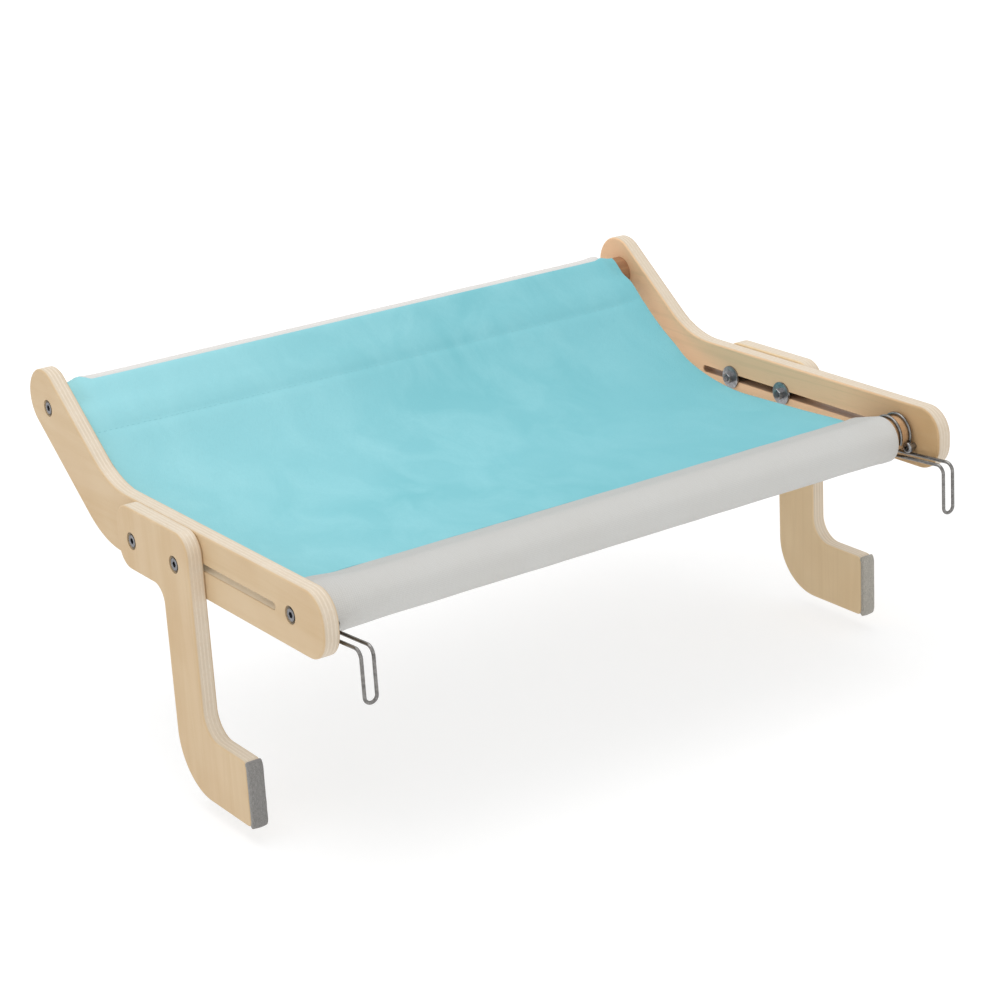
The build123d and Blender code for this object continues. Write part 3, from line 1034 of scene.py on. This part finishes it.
        def shape(u: float, v: float) -> Vector:
            """Places a point of the sling.

            Args:
                u: Its share across.
                v: Its share along.

            Returns:
                The place.
            """
            run, share = v * length, 2 * u - 1
            on_dowel = corner = over = 0.0
            if is_top:
                to_rear = run - length
                on_dowel = smooth(to_rear, *self.on_dowel_run)
                corner = on_dowel * smooth(abs(share), *self.fall_shares)
                over = on_dowel * smooth(abs(share), *self.reach_shares)
                over *= smooth(to_rear, self.on_dowel_run[1], 0.0)
                over *= self.corner_reach * (1.0 if share < 0 else self.right_reach)
                over -= self.front_wave.at(share) * fade(run, *self.front_wave_run)
            (y, z), (ny, nz) = path.read(run + over)
            x = self.reach(share, y) - (self.side_wave.height + self.side_wave.at(run)) * share
            off = (self.drape(x, run) + clear) * (1 - self.dowel_calm * on_dowel) - corner * self.corner_fall
            return Vector((x, y + ny * off, z + nz * off))

        return fabric.lay(name, (2 * self.half_width, length), shape)

    def crease_line(self) -> list[Vector]:
        """Draws the line of the velvet's crease, for its stitches.

        Returns:
            The points, from left to right, a little below the pile's top.
        """
        (y, z), (ny, nz) = self.sling_path(True).read(self.crease_run)
        points = []
        for i in range(self.stitch_line_steps + 1):
            x = self.reach(self.stitch_line_share * (2 * i / self.stitch_line_steps - 1), y)
            height = self.drape(x, self.crease_run) + self.velvet.thickness - self.stitch_depth
            points.append(Vector((x, y + ny * height, z + nz * height)))
        return points

    def sleeves(self) -> tuple[Sleeve, Sleeve]:
        """Sets the two sleeves out.

        Returns:
            The front one and the rear one.
        """
        touch, climb = self.back_touch()
        back_seam = toward(touch, climb + 180, self.back_seam)
        radius = self.dowel_radius + self.gap + self.sleeve_wall / 2
        front = Sleeve("front_dowel_sleeve", self.front_dowel, self.front_seam, radius, self.half_width, 11.0,
                       lap=11.5 * MM, draw=3.2 * MM, sag=4.4 * MM)
        rear = Sleeve("rear_dowel_sleeve", self.rear_dowel, back_seam, radius, self.rear_half_width, 21.0,
                      slip=self.slip, stand=1.4 * MM, tuck=13 * MM)
        return front, rear

    def make(self) -> None:
        front_sleeve, rear_sleeve = self.sleeves()
        top = finish_piece(self.sheet("velvet_top", True), self.plush, Slot.PLUSH)
        under = finish_piece(self.sheet("canvas_underside", False), self.plain_canvas, Slot.CANVAS)
        front = finish_piece(front_sleeve.make(), self.front_canvas, Slot.CANVAS)
        rear = finish_piece(rear_sleeve.make(), self.rear_canvas, Slot.CANVAS)
        seam = SewingLine().sew("back_seam_stitches", self.crease_line())
        finish_piece(seam, self.thread, Slot.PLUSH, angle=80)

        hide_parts("sling_top")
        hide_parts("sling_underside")
        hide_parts("front_sleeve")
        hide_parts("rear_sleeve")
        top_length, under_length = self.sling_path(True).length, self.sling_path(False).length
        front_loop, rear_loop = front_sleeve.path.length, rear_sleeve.path.length
        LOG.info("velvet %.3f m, underside %.3f m, sleeves %.3f and %.3f m long", top_length, under_length,
                 front_loop, rear_loop)


@dataclass
class FootPad:
    """The felt pad on the front of a foot, bent round the toe and crowned where its edges are pressed on."""

    stands_for: str
    body: Body
    finish: Felt
    seed: float
    crown: float = 0.5 * MM
    edge_round: float = 1.1 * MM
    toe_radius: float = 5 * MM
    inset: float = 1 * MM
    lumps: Folds = Folds(0.18 * MM, 5 * MM, 0.0)
    side_lumps: float = 0.4
    cells_up: int = 32
    cells_across: int = 10

    def make(self) -> None:
        """Makes the pad in its CAD piece's place."""
        low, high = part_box(self.stands_for)
        centre, size = (low + high) / 2, high - low
        deselect()
        bpy.ops.mesh.primitive_cube_add(size=1, location=centre)
        piece = bpy.context.active_object
        piece.name = piece.data.name = self.stands_for.replace("foot", "felt")
        piece.scale = size
        bpy.ops.object.transform_apply(location=True, rotation=True, scale=True)
        bpy.ops.object.mode_set(mode="EDIT")
        self.pick_edges(piece, lambda a, b: min(a.y, b.y) < centre.y)
        bpy.ops.mesh.bevel(offset=self.edge_round, segments=3, affect="EDGES")
        for axis, cells in ((2, self.cells_up), (0, self.cells_across)):
            self.pick_edges(piece, lambda a, b: abs(a[axis] - b[axis]) > size[axis] / 2)
            bpy.ops.mesh.subdivide(number_cuts=cells - 1)
        bpy.ops.object.mode_set(mode="OBJECT")
        flat = size.z / 2 + self.inset - self.toe_radius
        for vertex in piece.data.vertices:
            x, y, z = vertex.co
            across, front, up = 2 * (x - centre.x) / size.x, (high.y - y) / size.y, z - centre.z
            lump = self.lumps.at(x + y, z, self.seed)
            radius = self.toe_radius + front * (size.y - self.crown * across**2 - lump)
            turn = max(0.0, abs(up) - flat) / self.toe_radius
            rise = min(abs(up), flat) + radius * math.sin(turn)
            vertex.co = (x + lump * across * (self.side_lumps + front),
                         high.y + self.toe_radius - radius * math.cos(turn),
                         centre.z + math.copysign(rise, up))
        apply_modifier(piece, "SUBSURF", levels=1, render_levels=1)
        finish_piece(piece, self.finish, Slot.FELT, self.body, 60)
        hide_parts(self.stands_for)

    @staticmethod
    def pick_edges(piece: Piece, wanted: Callable[[Vector, Vector], bool]) -> None:
        """Selects the edges whose two ends meet a test, in edit mode.

        Args:
            piece: The piece.
            wanted: The test.
        """
        bpy.ops.mesh.select_all(action="DESELECT")
        bpy.ops.mesh.select_mode(type="EDGE")
        mesh = bmesh.from_edit_mesh(piece.data)
        for edge in mesh.edges:
            edge.select_set(wanted(edge.verts[0].co, edge.verts[1].co))
        bmesh.update_edit_mesh(piece.data)


@dataclass
class WoodAndMetal:
    """The pieces whose shapes are right as they are, with their finishes by the endings of their names."""

    finishes: tuple[tuple[tuple[str, ...], Finish], ...] = (
        # The left arm's slot walls carry painted light, and the right arm's slot walls carry painted shade.
        (("left_arm",), Plywood("birch_left_arm", Grain.ALONG_ARM, slot_painted_light_shade=linear(250, 238, 218))),
        # The right arm's darker veneer is painted shade, and its inner face carries painted warm light.
        (("right_arm",), Plywood("birch_right_arm", Grain.ALONG_ARM, painted_shade_share=0.75, painted_inner_light_share=0.8,
                                 slot_painted_light_shade=linear(142, 94, 60))),
        (("left_leg",), Plywood("birch_left_leg", Grain.ALONG_LEG)),
        # The right leg's paler veneer is painted light, lifting its face in the shade under the bed.
        (("right_leg",), Plywood("birch_right_leg", Grain.ALONG_LEG, face=linear(230, 204, 164),
                                 streak=linear(218, 190, 148), heart_and_shade=linear(216, 185, 140))),
        (("front_dowel",), TurnedWood("dowel_wood")),
        # The rear dowel's darker wood is painted shade.
        (("rear_dowel",), TurnedWood("painted_shade_dowel_wood", linear(172, 128, 93), linear(132, 90, 60))),
        (("_hook",), BareMetal("drawn_wire", linear(140, 138, 136), linear(104, 102, 100), 0.24, 0.3,
                               drawn=(1, 0.4, 1))),
        (("_screws",), BareMetal("screw_steel", linear(138, 138, 141), linear(104, 104, 107), 0.34, 0.25)),
        (("_hook_screw", "_washers", "_nuts", "_inserts"),
         BareMetal("zinc_plate", linear(164, 164, 166), linear(122, 122, 124), 0.32, 0.25)),
    )

    def dress(self, nodes: dict[str, Piece]) -> None:
        """Gives each piece its finish.

        Args:
            nodes: The pieces by name.
        """
        for endings, finish in self.finishes:
            material = finish.material()
            for name, node in nodes.items():
                if name.endswith(endings):
                    node.data.materials.clear()
                    node.data.materials.append(material)
                    LOG.info("dressed %s in %s", name, material.name)


@dataclass
class Viewpoint:
    """The camera, where the photograph was taken from, with its turns in degrees."""

    place: Place = (-0.98653, -1.30448, 0.62066)
    azimuth: float = -34.132
    elevation: float = 19.630
    roll: float = -3.282
    lens_mm: float = 92.4
    sensor_mm: float = 36.0
    clip: Point = (0.05, 60.0)

    def make(self) -> None:
        """Sets the camera up."""
        data = bpy.data.cameras.new("camera")
        data.lens, data.sensor_width = self.lens_mm, self.sensor_mm
        data.clip_start, data.clip_end = self.clip
        camera = bpy.data.objects.new("camera", data)
        bpy.context.scene.collection.objects.link(camera)
        matrix = Matrix.Translation(self.place)
        for angle, axis in ((self.azimuth, "Z"), (90 - self.elevation, "X"), (self.roll, "Z")):
            matrix @= Matrix.Rotation(math.radians(angle), 4, axis)
        camera.matrix_world = matrix
        bpy.context.scene.camera = camera


@dataclass(frozen=True)
class Lamp:
    """A square lamp that looks at the bed, with the length of its side and its power in watts."""

    name: str
    place: Place
    side: float
    power: float
    target: Place = (0.0, 0.14, 0.0)

    def hang(self) -> None:
        """Hangs the lamp in its place."""
        data = bpy.data.lights.new(self.name, "AREA")
        data.size, data.energy = self.side, self.power
        lamp = bpy.data.objects.new(self.name, data)
        bpy.context.scene.collection.objects.link(lamp)
        aim = Vector(self.target) - Vector(self.place)
        lamp.matrix_world = Matrix.Translation(self.place) @ aim.to_track_quat("-Z", "Y").to_matrix().to_4x4()


@dataclass
class Studio:
    """A plain pale floor under soft lamps."""

    floor_height: float = -0.155
    floor_size: float = 40.0
    floor_tone: float = 0.93
    shadow_reach: Point = (0.5, 1.3)
    shadow_glow: float = 0.55
    floor_glow: float = 1.18
    world_light: float = 0.74
    lamps: tuple[Lamp, ...] = (
        Lamp("top_lamp", (-0.3, 0.5, 2.5), 2.2, 28.0),
        Lamp("left_lamp", (-2.4, 0.2, 0.45), 1.6, 6.0),
        Lamp("front_lamp", (-0.8, -2.5, 0.7), 1.8, 7.0),
    )

    def make(self) -> None:
        """Builds the floor, the world and the lamps."""
        self.floor()
        self.world()
        for lamp in self.lamps:
            lamp.hang()
        view = bpy.context.scene.view_settings
        view.view_transform = "Standard"

    def floor(self) -> None:
        """Lays the floor, whose colour reaches the camera and reflections as near white."""
        deselect()
        bpy.ops.mesh.primitive_grid_add(x_subdivisions=4, y_subdivisions=4, size=self.floor_size,
                                        location=(0, 0, self.floor_height))
        floor = bpy.context.active_object
        floor.name = "floor"
        s = Shader(bpy.data.materials.new("floor_paint"))
        away = s.node("ShaderNodeVectorMath", {0: s.place()}, operation="LENGTH").outputs["Value"]
        share = s.math("MULTIPLY", s.seen(), s.spread(away, *self.shadow_reach, self.shadow_glow, 1.0))
        paint = s.node("ShaderNodeBsdfDiffuse", {"Color": (self.floor_tone,) * 3})
        glow = s.node("ShaderNodeEmission", {"Color": WHITE, "Strength": self.floor_glow})
        blend = s.node("ShaderNodeMixShader", {0: share, 1: paint.outputs[0], 2: glow.outputs[0]})
        s.node("ShaderNodeOutputMaterial", {"Surface": blend.outputs[0]})
        floor.data.materials.append(s.owner)
        deselect()

    def world(self) -> None:
        """Lights the scene evenly, and shows the camera and reflections a white background."""
        world = bpy.data.worlds.new("studio")
        bpy.context.scene.world = world
        s = Shader(world)
        strength = s.spread(s.seen(), 0.0, 1.0, self.world_light, 1.0)
        background = s.node("ShaderNodeBackground", {"Color": WHITE, "Strength": strength})
        s.node("ShaderNodeOutputWorld", {"Surface": background.outputs[0]})


def main() -> None:
    """Loads the frame, dresses the bed, sets the studio up and notes the sizes."""
    logging.basicConfig(level=logging.INFO, format="%(message)s")
    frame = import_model()
    Viewpoint().make()
    Studio().make()
    WoodAndMetal().dress(frame["nodes"])
    Cloth().make()
    # The left pad's darker felt is painted shade.
    painted_shade_felt = Felt("left_felt", linear(118, 116, 114), linear(160, 158, 155))
    grey_felt = Felt("right_felt", linear(147, 143, 135), linear(199, 194, 184))
    FootPad("left_foot_pad", Body.LEFT_LEG, painted_shade_felt, 30.0).make()
    FootPad("right_foot_pad", Body.RIGHT_LEG, grey_felt, 32.0).make()


if __name__ == "__main__":
    main()
